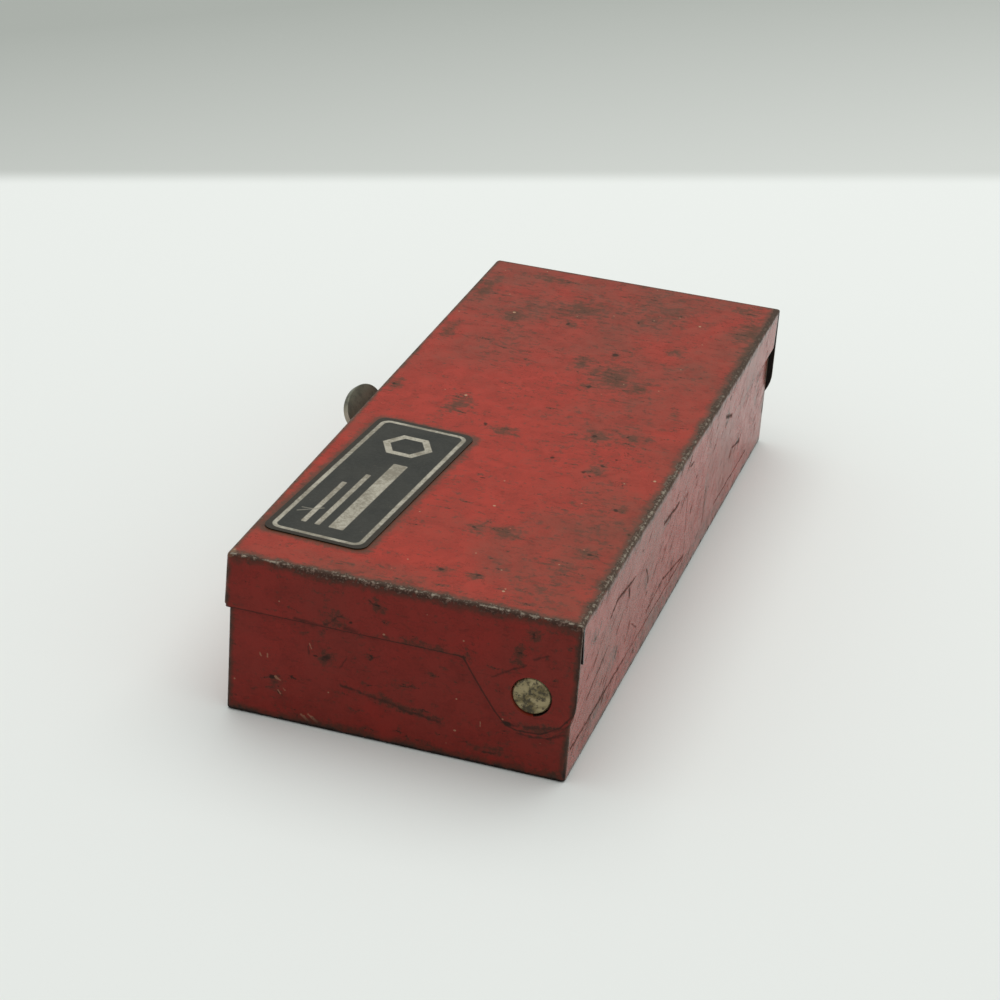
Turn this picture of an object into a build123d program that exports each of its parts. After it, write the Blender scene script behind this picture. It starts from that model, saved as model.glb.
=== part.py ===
from build123d import *
from math import asin, atan, atan2, cos, degrees, hypot, radians, sin, sqrt, tan
import os

# Small sheet steel tool case, in millimetres. X runs along the case, -Y is the
# latch side and +Z is up. The origin is the centre of the tray's underside.

# Driving sizes of the case
lid_length = 190.0
lid_width = 78.0
case_height = 38.0
sheet = 0.6

# Outer radii of the bends, which the sheet's thickness sets
lid_bend_radius = 1.5 * sheet
lid_corner_radius = 2 * sheet
tray_corner_radius = 1.5 * sheet
tray_bend_radius = 1.25 * sheet

# How far the lower edges of the lid's skirt stand out beyond the tray's outer faces
end_overhang = 0.8
front_overhang = 1.05
back_overhang = 1.2

# Depths of the lid's skirt below its top face, and the lean of the front flange
front_flange_depth = 12.1
end_flange_depth = 12.7
back_flange_depth = 10.1
front_flange_splay = 0.35

# The lid turns on one rivet in a rounded ear at each end
pivot_below_top = 18.7
pivot_from_back = 9.7
ear_start_from_front = 53.1
ear_notch_radius = 2.0

# Slits between the ears and the back flange, open at the bottom
slit_top_width = 0.5
slit_bottom_width = 2.0
slit_below_top = 1.4

# Clearances
swing_clearance = 0.15
top_clearance = 0.3
running_clearance = 0.06
rivet_clearance = 0.02
dimple_clearance = 0.25
seat_clearance = 0.1
knuckle_clearance = 0.25

# Hinge rivets, sunk in a dimple of the ear
rivet_head_radius = 4.2
rivet_head_thickness = 0.8
rivet_head_recess = 0.4
rivet_bevel = 0.25
rivet_shank_radius = 1.9
rivet_tail_radius = 3.6
rivet_tail_thickness = 1.2
ear_recess_radius = 4.5

# Catch rib pressed out of the middle of the lid's front flange, in step with the sheet
catch_length = 14.0
catch_height = 3.3 * sheet
catch_crest_height = catch_height / 2
catch_depth = 0.35 * catch_height
catch_above_edge = 0.5

# Hasp with its thumb tab
hasp_width = 19.6
hasp_neck_width = 12.4
hasp_thickness = 1.15
hasp_bend_radius = 0.5
hasp_shoulder_rise = 2.4
tab_stand_out = 5.8
tab_below_top = 1.6
tab_round_reach = 4.9
tab_edge_radius = 0.25

# Hinge leaf, pin and rivets of the hasp
latch_pin_height = 12.0
latch_pin_radius = 1.0
latch_pin_head_radius = 1.5
latch_pin_head_length = 0.6
leaf_width = 25.0
leaf_thickness = 1.2
leaf_bottom = 2.6
leaf_corner_radius = 1.5
knuckle_side_gap = 0.2
latch_rivet_spacing = 15.0
latch_rivet_height = 5.7
latch_rivet_radius = 1.2
latch_rivet_head_radius = 2.2
latch_rivet_head_height = 0.9
latch_rivet_rounding = 0.8
latch_rivet_tail_radius = 1.9
latch_rivet_tail_height = 0.7

# Name plate on the lid, a little crooked as it was stuck on
plate_length = 65.0
plate_width = 23.8
plate_thickness = 0.3
plate_corner_radius = 2.6
plate_centre_x = 49.3
plate_centre_from_front = 16.2
plate_turn = -3.7

# Flaps folded in from the tray's end walls and spot welded to its long walls
flap_length = 12.0
flap_below_edge = 1.0

# Places worked out from the sizes above
tray_length = lid_length - 2 * end_overhang
tray_width = lid_width + front_flange_splay - front_overhang - back_overhang
tray_end = tray_length / 2
tray_front = -tray_width / 2
tray_back = tray_width / 2
lid_end = lid_length / 2
lid_front = tray_front - front_overhang
lid_back = tray_back + back_overhang
lid_underside = case_height - sheet
pivot_y = lid_back - pivot_from_back
pivot_z = case_height - pivot_below_top
ear_radius = pivot_from_back
ear_bottom = pivot_z - ear_radius
front_flange_bottom = case_height - front_flange_depth
end_flange_bottom = case_height - end_flange_depth
back_flange_bottom = case_height - back_flange_depth

# The lid's front flange and its top behind the pivot sweep circles about the pivot.
# The tray's walls end where they would meet those circles.
front_swing = hypot(pivot_y - lid_front - sheet, front_flange_bottom - pivot_z) - swing_clearance
back_swing = lid_underside - pivot_z - top_clearance
end_wall_top = lid_underside - 4 * top_clearance
front_wall_top = pivot_z + sqrt(front_swing ** 2 - (pivot_y - tray_front) ** 2)
back_wall_top = pivot_z + sqrt(back_swing ** 2 - (tray_back - pivot_y) ** 2)
end_wall_front = pivot_y - sqrt(front_swing ** 2 - (end_wall_top - pivot_z) ** 2)
end_wall_back = pivot_y + sqrt(back_swing ** 2 - (end_wall_top - pivot_z) ** 2)

# Distances from the middle of the case to the faces at one hinge, outermost first
rivet_face = lid_end - rivet_head_recess
rivet_seat = rivet_face - rivet_head_thickness
ear_floor_face = rivet_seat - seat_clearance
ear_floor_back = ear_floor_face - sheet
tray_floor_face = ear_floor_back - dimple_clearance
tray_floor_back = tray_floor_face - sheet
rivet_end = tray_floor_back - rivet_tail_thickness

# Radii about the hinge line: the ear's dimple nests in a dimple of the tray
ear_bump_radius = ear_recess_radius + sheet
tray_recess_radius = ear_bump_radius + dimple_clearance
tray_bump_radius = tray_recess_radius + sheet

# Places on the front of the case, from the tray's wall outwards
leaf_face = tray_front - leaf_thickness
leaf_knuckle_radius = latch_pin_radius + leaf_thickness
hasp_knuckle_radius = leaf_knuckle_radius - knuckle_clearance
latch_pin_y = tray_front - leaf_knuckle_radius
hasp_back = latch_pin_y - hasp_knuckle_radius + hasp_thickness
catch_middle = front_flange_bottom + catch_above_edge + catch_height / 2
catch_top = catch_middle + catch_height / 2
crease_y = lid_front - seat_clearance
crease_z = catch_top + 5 * seat_clearance
hasp_bend_z = crease_z - (crease_y - hasp_back)
tab_tip_y = lid_front - tab_stand_out
tab_tip_z = case_height - tab_below_top

# Room for cutters to run past the metal
past = 10.0

os.makedirs("parts", exist_ok=True)


def save(piece, name):
    """Give a finished piece its name and write it to its own file."""
    piece.part.label = name
    export_step(piece.part, f"parts/{name}.step")


def cross_section(x):
    """Plane across the case at x, whose own x and y are the case's Y and Z."""
    return Plane(origin=(x, 0, 0), x_dir=(0, 1, 0), z_dir=(1, 0, 0))


def front_view(y, z=0):
    """Plane along the case at y, facing -Y, with its middle at height z."""
    return Plane(origin=(0, y, z), x_dir=(1, 0, 0), z_dir=(0, -1, 0))


def turned(*outline):
    """Turn a closed outline of (x, radius) points about the hinge line of the lid."""
    with BuildPart() as ring:
        with BuildSketch(front_view(pivot_y, pivot_z)):
            with BuildLine():
                Polyline(*outline, close=True)
            make_face()
        revolve(axis=Axis((0, pivot_y, pivot_z), (1, 0, 0)))
    return ring.part


def at_both_ends(piece):
    """The piece at the right end and its mirror image at the left end."""
    return [piece, piece.mirror(Plane.YZ)]


# Lid: one sheet folded down on all four sides, with a hinge ear at each end.
# The slanted edge of an ear runs from the seam line to touch its round end.
notch_y = lid_front + ear_start_from_front
notch_to_pivot = hypot(pivot_y - notch_y, pivot_z - end_flange_bottom)
slant = atan2(pivot_z - end_flange_bottom, pivot_y - notch_y) - asin(ear_radius / notch_to_pivot)
slant_length = sqrt(notch_to_pivot ** 2 - ear_radius ** 2)
slant_end = (notch_y + slant_length * cos(slant), end_flange_bottom + slant_length * sin(slant))

# The front flange leans out. The catch rib keeps the sheet's thickness in its sides.
lean = front_flange_splay / front_flange_depth
catch_root = lid_front + lean * (catch_top - front_flange_bottom)
catch_draw = catch_root - lid_front + catch_depth
catch_taper = degrees(atan((catch_height - catch_crest_height) / 2 / catch_draw))
catch_walls = 2 * sheet * tan(radians(90 - catch_taper) / 2)

ear_recess = turned(
    (ear_floor_face, 0),
    (ear_floor_face, ear_recess_radius - seat_clearance),
    (lid_end, ear_recess_radius),
    (lid_end, 0),
)
ear_bump = turned(
    (ear_floor_back, 0),
    (ear_floor_back, ear_bump_radius),
    (lid_end - sheet, ear_bump_radius),
    (lid_end - sheet, 0),
)
ear_hole = turned(
    (tray_floor_back, 0),
    (tray_floor_back, rivet_shank_radius + running_clearance),
    (lid_end, rivet_shank_radius + running_clearance),
    (lid_end, 0),
)

with BuildPart() as lid:
    with BuildSketch(cross_section(-lid_end)):
        with BuildLine():
            Polyline(
                (lid_front - lean * (front_flange_bottom - ear_bottom), ear_bottom),
                (lid_front + front_flange_splay, case_height),
                (lid_back, case_height),
                (lid_back, ear_bottom),
                close=True,
            )
        make_face()
    extrude(amount=lid_length)
    front_corners = lid.edges().filter_by(Axis.X, reverse=True).group_by(Axis.Y)[0]
    fillet(front_corners, radius=lid_corner_radius)
    fillet(lid.edges().group_by(Axis.Z)[-1], radius=lid_bend_radius)
    offset(amount=-sheet, openings=lid.faces().sort_by(Axis.Z)[0])

    # seam line, slanted edge and round end of the ears
    with BuildSketch(cross_section(-lid_end - past)) as below_ears:
        with BuildLine():
            Polyline(
                (lid_front - past, end_flange_bottom),
                (notch_y, end_flange_bottom),
                slant_end,
                (pivot_y, pivot_z),
                (lid_back + past, pivot_z),
                (lid_back + past, ear_bottom - past),
                (lid_front - past, ear_bottom - past),
                close=True,
            )
        make_face()
        fillet(below_ears.vertices().sort_by_distance((notch_y, end_flange_bottom))[0],
               radius=ear_notch_radius)
        with Locations((pivot_y, pivot_z)):
            Circle(ear_radius, mode=Mode.SUBTRACT)
    extrude(amount=lid_length + 2 * past, mode=Mode.SUBTRACT)

    # shallower flanges at the front and the back
    with BuildSketch(cross_section(-lid_end - past)):
        with Locations((lid_front + sheet, front_flange_bottom)):
            Rectangle(past, past, align=(Align.MAX, Align.MAX))
    extrude(amount=lid_length + 2 * past, mode=Mode.SUBTRACT)
    with BuildSketch(cross_section(-lid_end + sheet)):
        with Locations((lid_back, back_flange_bottom)):
            Rectangle(2 * sheet, case_height, align=(Align.CENTER, Align.MAX))
    extrude(amount=lid_length - 2 * sheet, mode=Mode.SUBTRACT)

    # slits beside the back flange
    with BuildSketch(front_view(lid_back)) as slits:
        with BuildLine():
            Polyline(
                (lid_end - sheet, case_height - slit_below_top),
                (lid_end - sheet - slit_top_width, case_height - slit_below_top),
                (lid_end - sheet - slit_bottom_width, back_flange_bottom),
                (lid_end - sheet, back_flange_bottom),
                close=True,
            )
        make_face()
        mirror(about=Plane.YZ)
    extrude(amount=sheet, mode=Mode.SUBTRACT)

    # catch rib, pressed outwards from behind
    with BuildSketch(front_view(catch_root, catch_middle)):
        SlotOverall(catch_length, catch_height)
    extrude(amount=catch_draw, taper=catch_taper)
    with BuildSketch(front_view(catch_root + sheet, catch_middle)):
        SlotOverall(catch_length - catch_walls, catch_height - catch_walls)
    extrude(amount=catch_draw, taper=catch_taper, mode=Mode.SUBTRACT)

    # dimples of the ears with the holes for the rivets
    add(at_both_ends(ear_bump))
    add(at_both_ends(ear_recess), mode=Mode.SUBTRACT)
    add(at_both_ends(ear_hole), mode=Mode.SUBTRACT)

save(lid, "lid")

# Tray: folded box whose walls end just inside the lid's swing
tray_recess = turned(
    (tray_floor_face, 0),
    (tray_floor_face, tray_recess_radius),
    (tray_end, tray_recess_radius),
    (tray_end, 0),
)
tray_bump = turned(
    (tray_floor_back, 0),
    (tray_floor_back, tray_bump_radius),
    (tray_end - sheet, tray_bump_radius),
    (tray_end - sheet, 0),
)
tray_hole = turned(
    (rivet_end, 0),
    (rivet_end, rivet_shank_radius + rivet_clearance),
    (tray_end, rivet_shank_radius + rivet_clearance),
    (tray_end, 0),
)

with BuildPart() as tray:
    Box(tray_length, tray_width, case_height, align=(Align.CENTER, Align.CENTER, Align.MIN))
    fillet(tray.edges().filter_by(Axis.Z), radius=tray_corner_radius)
    fillet(tray.edges().group_by(Axis.Z)[0], radius=tray_bend_radius)
    offset(amount=-sheet, openings=tray.faces().sort_by(Axis.Z)[-1])

    # end walls raked down to the long walls
    with BuildSketch(cross_section(-tray_end)):
        with BuildLine():
            Polyline(
                (tray_front, front_wall_top),
                (end_wall_front, end_wall_top),
                (end_wall_back, end_wall_top),
                (tray_back, back_wall_top),
                (tray_back, case_height),
                (tray_front, case_height),
                close=True,
            )
        make_face()
    extrude(amount=tray_length, mode=Mode.SUBTRACT)

    # straight edges of the long walls, and the flaps behind them
    for wall, wall_top, inwards in [
        (tray_front + sheet, front_wall_top, Align.MIN),
        (tray_back - sheet, back_wall_top, Align.MAX),
    ]:
        with BuildSketch(Plane.XY.offset(wall_top)):
            with Locations((0, wall)):
                Rectangle(tray_length - 2 * sheet, 2 * sheet)
        extrude(amount=case_height, mode=Mode.SUBTRACT)
        with BuildSketch(Plane.XY.offset(sheet)):
            with Locations((tray_end - sheet, wall)):
                Rectangle(flap_length, sheet, align=(Align.MAX, inwards))
            mirror(about=Plane.YZ)
        extrude(amount=wall_top - flap_below_edge - sheet)

    # holes for the rivets of the latch
    with BuildSketch(front_view(tray_front + sheet, latch_rivet_height)):
        with GridLocations(latch_rivet_spacing, 0, 2, 1):
            Circle(latch_rivet_radius + rivet_clearance)
    extrude(amount=sheet, mode=Mode.SUBTRACT)

    # dimples behind the ears
    add(at_both_ends(tray_bump))
    add(at_both_ends(tray_recess), mode=Mode.SUBTRACT)
    add(at_both_ends(tray_hole), mode=Mode.SUBTRACT)

save(tray, "tray")

# Hinge rivets: a flush head in the ear's dimple and a tail closed inside the tray
rivet_outline = turned(
    (rivet_face, 0),
    (rivet_face, rivet_head_radius - rivet_bevel),
    (rivet_face - rivet_bevel, rivet_head_radius),
    (rivet_seat, rivet_head_radius),
    (rivet_seat, rivet_shank_radius),
    (tray_floor_back, rivet_shank_radius),
    (tray_floor_back, rivet_tail_radius),
    (rivet_end + rivet_bevel, rivet_tail_radius),
    (rivet_end, rivet_tail_radius - rivet_bevel),
    (rivet_end, 0),
)

with BuildPart() as hinge_rivet_right:
    add(rivet_outline)

save(hinge_rivet_right, "hinge_rivet_right")

with BuildPart() as hinge_rivet_left:
    mirror(rivet_outline, about=Plane.YZ)

save(hinge_rivet_left, "hinge_rivet_left")

# Hinge leaf of the latch: a plate with its top curled round the pin
with BuildPart() as latch_base:
    with BuildSketch(cross_section(-leaf_width / 2)):
        with Locations((tray_front, leaf_bottom)):
            Rectangle(leaf_thickness, latch_pin_height - leaf_bottom, align=(Align.MAX, Align.MIN))
        with Locations((latch_pin_y, latch_pin_height)):
            Circle(leaf_knuckle_radius)
            Circle(latch_pin_radius + rivet_clearance, mode=Mode.SUBTRACT)
    extrude(amount=leaf_width)

    # room for the hasp's knuckle in the middle, and rounded lower corners
    with BuildSketch(front_view(tray_front, latch_pin_height - leaf_knuckle_radius)):
        Rectangle(hasp_neck_width + 2 * knuckle_side_gap, past, align=(Align.CENTER, Align.MIN))
    extrude(amount=past, mode=Mode.SUBTRACT)
    fillet(latch_base.edges().filter_by(Axis.Y).group_by(Axis.Z)[0], radius=leaf_corner_radius)

    with BuildSketch(front_view(tray_front, latch_rivet_height)):
        with GridLocations(latch_rivet_spacing, 0, 2, 1):
            Circle(latch_rivet_radius + rivet_clearance)
    extrude(amount=leaf_thickness, mode=Mode.SUBTRACT)

save(latch_base, "latch_base")

# Rivets of the leaf, one node: domed heads outside, flat tails inside the tray
with BuildPart() as latch_rivets:
    with BuildSketch(front_view(leaf_face, latch_rivet_height)):
        with GridLocations(latch_rivet_spacing, 0, 2, 1):
            Circle(latch_rivet_head_radius)
    extrude(amount=latch_rivet_head_height)
    fillet(latch_rivets.edges().group_by(Axis.Y)[0], radius=latch_rivet_rounding)
    with BuildSketch(front_view(tray_front + sheet, latch_rivet_height)):
        with GridLocations(latch_rivet_spacing, 0, 2, 1):
            Circle(latch_rivet_radius)
    extrude(amount=leaf_thickness + sheet)
    with BuildSketch(front_view(tray_front + sheet + latch_rivet_tail_height, latch_rivet_height)):
        with GridLocations(latch_rivet_spacing, 0, 2, 1):
            Circle(latch_rivet_tail_radius)
    extrude(amount=latch_rivet_tail_height)

save(latch_rivets, "latch_rivets")

# Pin of the latch, peened at both ends
with BuildPart() as latch_pin:
    with BuildSketch(cross_section(-leaf_width / 2 - latch_pin_head_length)):
        with Locations((latch_pin_y, latch_pin_height)):
            Circle(latch_pin_head_radius)
    extrude(amount=leaf_width + 2 * latch_pin_head_length)
    with BuildSketch(cross_section(-leaf_width / 2)):
        with Locations((latch_pin_y, latch_pin_height)):
            Circle(latch_pin_head_radius)
            Circle(latch_pin_radius, mode=Mode.SUBTRACT)
    extrude(amount=leaf_width, mode=Mode.SUBTRACT)
    rims = latch_pin.edges().filter_by(GeomType.CIRCLE).group_by(Axis.X)
    chamfer(rims[0] + rims[-1], length=latch_pin_head_length / 2)

save(latch_pin, "latch_pin")

# Hasp: sprung plate with a crease that snaps over the catch rib and a flared thumb tab
tab_rise = tab_tip_z - crease_z
tab_run = crease_y - tab_tip_y
tab_plane = Plane(origin=(0, tab_tip_y, tab_tip_z), x_dir=(1, 0, 0), z_dir=(0, tab_rise, tab_run))
shoulder = leaf_knuckle_radius + knuckle_clearance

with BuildPart() as latch_hasp:
    with BuildSketch(cross_section(-hasp_width / 2)) as side_view:
        with BuildLine():
            inner_face = Polyline(
                (hasp_back, latch_pin_height),
                (hasp_back, hasp_bend_z),
                (crease_y, crease_z),
                (tab_tip_y, tab_tip_z),
            )
            offset(inner_face, amount=hasp_thickness, side=Side.LEFT, kind=Kind.INTERSECTION)
        make_face()
        bends = side_view.vertices().sort_by(Axis.Y)[2:-2]
        fillet(bends, radius=hasp_bend_radius)
    extrude(amount=hasp_width)

    # round end of the thumb tab
    with BuildSketch(tab_plane):
        Rectangle(hasp_width, tab_round_reach, align=(Align.CENTER, Align.MIN))
        with Locations((0, tab_round_reach)):
            Ellipse(hasp_width / 2, tab_round_reach, mode=Mode.SUBTRACT)
    extrude(amount=2 * hasp_thickness, both=True, mode=Mode.SUBTRACT)
    fillet(latch_hasp.edges().filter_by(GeomType.ELLIPSE), radius=tab_edge_radius)

    # narrow neck between the knuckles of the leaf
    with BuildSketch(front_view(tray_front, latch_pin_height)):
        with BuildLine():
            Polyline(
                (hasp_neck_width / 2, 0),
                (hasp_neck_width / 2, shoulder),
                (hasp_width / 2, shoulder + hasp_shoulder_rise),
                (hasp_width / 2, 0),
                close=True,
            )
        make_face()
        mirror(about=Plane.YZ)
    extrude(amount=past, mode=Mode.SUBTRACT)

    # knuckle on the pin
    with BuildSketch(cross_section(-hasp_neck_width / 2)):
        with Locations((latch_pin_y, latch_pin_height)):
            Circle(hasp_knuckle_radius)
    extrude(amount=hasp_neck_width)
    with BuildSketch(cross_section(-hasp_neck_width / 2)):
        with Locations((latch_pin_y, latch_pin_height)):
            Circle(latch_pin_radius + running_clearance)
    extrude(amount=hasp_neck_width, mode=Mode.SUBTRACT)

save(latch_hasp, "latch_hasp")

# Name plate: thin sheet stuck on the lid, a little crooked
with BuildPart() as name_plate:
    with BuildSketch(Plane.XY.offset(case_height)):
        plate_centre_y = lid_front + front_flange_splay + plate_centre_from_front
        with Locations(Location((plate_centre_x, plate_centre_y, 0), (0, 0, plate_turn))):
            RectangleRounded(plate_length, plate_width, plate_corner_radius)
    extrude(amount=plate_thickness)

save(name_plate, "name_plate")
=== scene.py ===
from collections import namedtuple
from math import cos, radians, sin

import bmesh
import bpy
from mathutils import Matrix, Vector


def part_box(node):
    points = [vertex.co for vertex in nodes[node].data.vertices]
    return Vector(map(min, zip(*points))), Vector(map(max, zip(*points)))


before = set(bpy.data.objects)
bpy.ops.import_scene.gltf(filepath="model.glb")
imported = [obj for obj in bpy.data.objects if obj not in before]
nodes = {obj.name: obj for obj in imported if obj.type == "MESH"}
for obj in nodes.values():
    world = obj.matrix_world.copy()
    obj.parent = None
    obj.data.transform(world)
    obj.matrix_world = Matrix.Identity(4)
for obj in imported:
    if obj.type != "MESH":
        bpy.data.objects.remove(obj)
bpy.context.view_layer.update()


# Tray. Folded from 0.6 mm sheet steel with lapped corners, sprayed in red stoving enamel and baked.
# Years in a garage have rubbed its folds down to dark oxide and grey steel, and left scratches, oil
# and grime on the red. Sizes are in millimetres, and places on a face are from its edges.
mm = 1000
tray_low, tray_high = (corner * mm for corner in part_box("tray"))
lid_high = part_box("lid")[1] * mm
middle = Vector((0, 0, lid_high.z / 2))
lid_width = 78
front_fold = lid_high.y - lid_width
seam_depth = 12.7

enamel_red = "A22C19"
enamel_dull = "813724"
enamel_shade = "6A2417"
grime_soft = "5A4232"
grime_brown = "4C3524"
grime_dark = "36251B"
oxide_dark = "45352A"
oxide_grey = "796B5C"
steel_bright = "A59C8C"
scratch_beige = "A88567"
# Painted light: a darker tint and a deeper red for the ends as shade, and a paler pink-red for the
# long walls as sheen
end_shade_tint = "D6BCC0"
shaded_end_red = "8D2D26"
sheen_wall_red = "A8564A"
# Black painted as shadow
painted_contact_shadow = "17130F"
# Inside the case: a darker tint painted as shade, and near black for grease and painted shade
inside_shade_tint = "A8968E"
hinge_grease_and_shade = "1C1713"


def colour(code):
    """The linear colour of an sRGB hex code."""
    levels = [int(code[place:place + 2], 16) / 255 for place in (0, 2, 4)]
    linear = [level / 12.92 if level <= 0.04045 else ((level + 0.055) / 1.055) ** 2.4
              for level in levels]
    return (*linear, 1)


def add(tree, kind, inputs=(), output=0, **settings):
    """Adds a node with its settings and links and returns its output."""
    node = tree.nodes.new("ShaderNode" + kind)
    for setting, value in settings.items():
        setattr(node, setting, value)
    pairs = inputs.items() if isinstance(inputs, dict) else enumerate(inputs)
    for socket, value in pairs:
        if isinstance(value, bpy.types.NodeSocket):
            tree.links.new(value, node.inputs[socket])
        elif value is not None:
            node.inputs[socket].default_value = value
    return node.outputs[output] if len(node.outputs) else node


def new_material(name):
    """A material with an empty node tree, and the place of the shaded point in millimetres."""
    material = bpy.data.materials.new(name)
    material.use_nodes = True
    tree = material.node_tree
    tree.nodes.clear()
    place = add(tree, "VectorMath", {0: add(tree, "TexCoord", output="Object"), "Scale": mm},
                operation="SCALE")
    return material, tree, place


def nearness(tree, place, spots):
    """1 in the middle of the nearest spot and 0 outside; a spot is a middle, a size and a turn."""
    nearest = 0.0
    for centre, size, turn in spots:
        local = add(tree, "Mapping", {"Vector": place, "Location": centre, "Scale": size,
                                      "Rotation": turn}, vector_type="TEXTURE")
        spot = add(tree, "TexGradient", (local,), output="Fac", gradient_type="SPHERICAL")
        nearest = add(tree, "Math", (nearest, spot), operation="MAXIMUM")
    return nearest


def line_distance(tree, place, metric, lines):
    """Distance to the nearest line, in units of that line's half width; 0 is on the line. The
    metric shrinks the axis across the face, so that a line reaches both of two lapped sheets."""
    flat = add(tree, "VectorMath", (place, metric), operation="MULTIPLY")
    nearest = 1000.0
    for start, end, half_width in lines:
        first = Vector(start) * Vector(metric)
        along = Vector(end) * Vector(metric) - first
        reach = add(tree, "VectorMath", (flat, first), operation="SUBTRACT")
        share = add(tree, "VectorMath", (reach, along / along.length_squared), output="Value",
                    operation="DOT_PRODUCT")
        share = add(tree, "Math", (share, 1), operation="MULTIPLY", use_clamp=True)
        foot = add(tree, "VectorMath", {0: along, "Scale": share}, operation="SCALE")
        gap = add(tree, "VectorMath", (reach, foot), output="Value", operation="DISTANCE")
        gap = add(tree, "Math", (gap, half_width), operation="DIVIDE")
        nearest = add(tree, "Math", (nearest, gap), operation="MINIMUM")
    return nearest


spot_depth = 4
far_end_wear = 0.8


def end_place(from_front, from_top):
    """A place on the near end, from the top's front fold and the top."""
    return Vector((lid_high.x, front_fold + from_front, lid_high.z - from_top))


def back_place(from_end, from_top):
    """A place on the back, from the near end and the top."""
    return Vector((lid_high.x - from_end, lid_high.y, lid_high.z - from_top))


def top_place(from_end, from_back):
    """A place on the lid's top, from the near end and the back fold."""
    return Vector((lid_high.x - from_end, lid_high.y - from_back, lid_high.z))


def end_spots(spots):
    """Spots on the near end: from the front and top, length, height and turn."""
    return [(end_place(from_front, from_top), (spot_depth, length / 2, height / 2),
             (radians(turn), 0, 0)) for from_front, from_top, length, height, turn in spots]


def back_spots(spots):
    """Spots on the back: from the near end and the top, length, height and turn."""
    return [(back_place(from_end, from_top), (length / 2, spot_depth, height / 2),
             (0, radians(turn), 0)) for from_end, from_top, length, height, turn in spots]


def top_spots(spots):
    """Spots on the lid's top: from the near end and the back fold, length, width and turn."""
    return [(top_place(from_end, from_back), (length / 2, width / 2, spot_depth),
             (0, 0, radians(turn))) for from_end, from_back, length, width, turn in spots]


def strokes(place_on_face, lists):
    """Lines through lists of places on a face, each list led by its half width."""
    lines = []
    for half_width, *places in lists:
        points = [place_on_face(*place) for place in places]
        lines += [(start, end, half_width) for start, end in zip(points, points[1:])]
    return lines


def ring_folds(low, high, level, end_width, front_width, back_width):
    """The four horizontal folds of a box at one level, each worn to its own half width. The far
    end is handled less than the near one."""
    corners = [Vector((x, y, level)) for x, y in ((high.x, low.y), (high.x, high.y),
                                                  (low.x, high.y), (low.x, low.y))]
    widths = (end_width, back_width, end_width * far_end_wear, front_width)
    return [(corners[turn], corners[(turn + 1) % 4], widths[turn]) for turn in range(4)]


def upright_folds(low, high, half_width):
    """The four upright corner folds of a box."""
    return [(Vector((x, y, low.z)), Vector((x, y, high.z)), half_width)
            for x in (low.x, high.x) for y in (low.y, high.y)]


end_metric = (0.1, 1, 1)
back_metric = (1, 0.1, 1)
top_metric = (1, 1, 0.1)
both_ends_metric = (0, 1, 1)
whole_metric = (1, 1, 1)
cloud_size = 24
mottle_size = 5.5
speck_size = 1.2
grain_size = 0.5
streak_sizes = (1.3, 4.5, 1.3)
fleck_spacing = 5.5
fleck_size = 0.26
wave_size = 2.4
waviness = 1.2
hair_sizes = (7, 2.2, 0.6)
hair_slope = 32
haze_strength = 0.45
crest_depth = 2
polish_start = -70
polish_end = 20
ground_height = 2
swell_size = 30
swell_depth = 0.09
speck_depth = 0.009
grain_depth = 0.006
hair_depth = 0.045


Coat = namedtuple("Coat", "cloud mottle speck grain streak at_end at_wall inside")


def coat_of(tree, place):
    """What varies over the coat: a noise for each real size, how far the face looks to an end or
    to a long wall, and 1 where it looks into the case."""
    cloud = add(tree, "TexNoise", {"Vector": place, "Scale": 1 / cloud_size, "Detail": 3,
                                   "Roughness": 0.6, "Distortion": 0.5})
    mottle = add(tree, "TexNoise", {"Vector": place, "Scale": 1 / mottle_size, "Detail": 5,
                                    "Roughness": 0.65, "Distortion": 0.6})
    speck = add(tree, "TexNoise", {"Vector": place, "Scale": 1 / speck_size, "Detail": 3,
                                   "Roughness": 0.7})
    grain = add(tree, "TexNoise", {"Vector": place, "Scale": 1 / grain_size, "Detail": 1,
                                   "Roughness": 0.6})
    drawn = add(tree, "Mapping", {"Vector": place, "Scale": streak_sizes}, vector_type="TEXTURE")
    streak = add(tree, "TexNoise", {"Vector": drawn, "Scale": 1, "Detail": 4, "Roughness": 0.6,
                                    "Distortion": 0.4})
    facing = add(tree, "TexCoord", output="Normal")
    outward = add(tree, "VectorMath", (place, middle), operation="SUBTRACT")
    outward = add(tree, "VectorMath", (outward, facing), output="Value", operation="DOT_PRODUCT")
    inside = add(tree, "Math", (outward, 0), operation="LESS_THAN")
    facing = add(tree, "VectorMath", (facing,), operation="ABSOLUTE")
    at_end = add(tree, "SeparateXYZ", (facing,), output="X")
    at_wall = add(tree, "SeparateXYZ", (facing,), output="Y")
    return Coat(cloud, mottle, speck, grain, streak, at_end, at_wall, inside)


def faded(tree, coat, sound):
    """Shares of the face that have kept a bright red, a deeper and more even red painted on the
    ends as shade, a paler pink-red painted on the long walls as sheen, and dark freckles."""
    sound = add(tree, "Math", (sound, 0.5, coat.cloud), operation="MULTIPLY_ADD")
    ripple = add(tree, "Math", (coat.streak, coat.mottle), operation="ADD")
    ripple = add(tree, "Math", (ripple, 0.3, sound), operation="MULTIPLY_ADD")
    ripple = add(tree, "Math", (coat.speck, 0.3, ripple), operation="MULTIPLY_ADD")
    bright = add(tree, "MapRange", (ripple, 0.7, 1.18), interpolation_type="SMOOTHSTEP")
    painted_end_shade = add(tree, "Math", (coat.at_end, 0.55), operation="MULTIPLY")
    painted_wall_sheen = add(tree, "Math", (coat.at_wall, 0.35), operation="MULTIPLY")
    freckles = add(tree, "Math", (coat.grain, 0.5, coat.mottle), operation="MULTIPLY_ADD")
    freckles = add(tree, "MapRange", (freckles, 0.66, 1.02, 0, 0.55))
    return bright, painted_end_shade, painted_wall_sheen, freckles


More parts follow.
